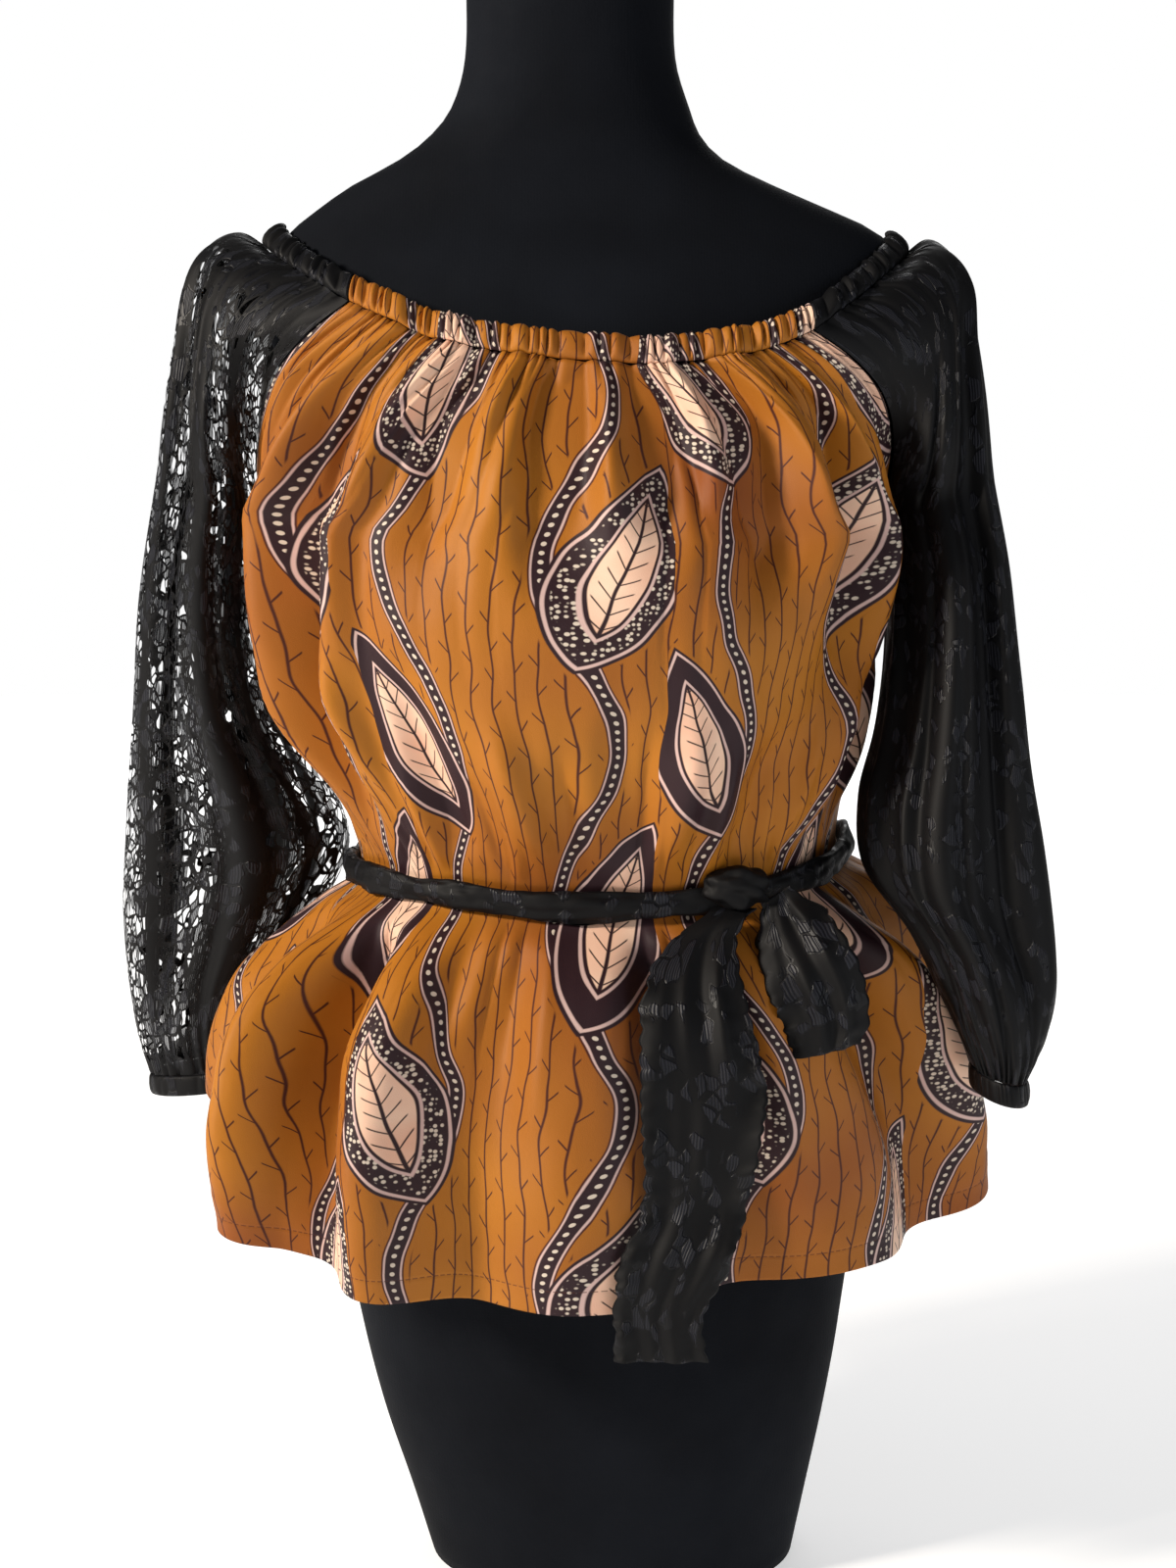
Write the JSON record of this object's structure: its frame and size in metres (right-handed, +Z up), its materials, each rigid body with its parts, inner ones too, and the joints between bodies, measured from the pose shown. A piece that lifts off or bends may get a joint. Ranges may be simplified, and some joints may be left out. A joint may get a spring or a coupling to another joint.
{
  "type": "ankara top on a limbless dress form",
  "caption": "Off-shoulder ankara peasant top on a limbless dress form: orange printed cotton, black lace bishop sleeves, lace sash tied at the waist, flared peplum",
  "frame": {"origin": "centre of the dress form's flat base, on the surface it stands on", "axes": "+X to the wearer's left, -Y out of the front, +Z up; right-handed; metres"},
  "size_m": [0.5264, 0.3527, 0.9],
  "materials": {
    "ankara_cotton": "golden ochre wax print with dark leaves, beaded vines and red-brown veins on smooth plain-woven cotton, matt with a faint sheen",
    "black_lace": "black guipure lace of leaf sprays, open between them, slightly glossy threads",
    "form_jersey": "blue-black, tight matt jersey cover, smooth"
  },
  "bodies": {
    "root": {"form_body": "form_jersey", "front": "ankara_cotton", "neck_casing_front": "ankara_cotton", "back": "ankara_cotton", "neck_casing_back": "ankara_cotton", "sleeve_right_front": "black_lace", "sleeve_right_back": "black_lace", "neck_casing_sleeve_right": "black_lace", "cuff_right": "black_lace", "sleeve_left_front": "black_lace", "sleeve_left_back": "black_lace", "neck_casing_sleeve_left": "black_lace", "cuff_left": "black_lace", "sash_band": "black_lace", "sash_knot": "black_lace", "sash_end_long": "black_lace", "sash_end_short": "black_lace"}
  },
  "joints": []
}
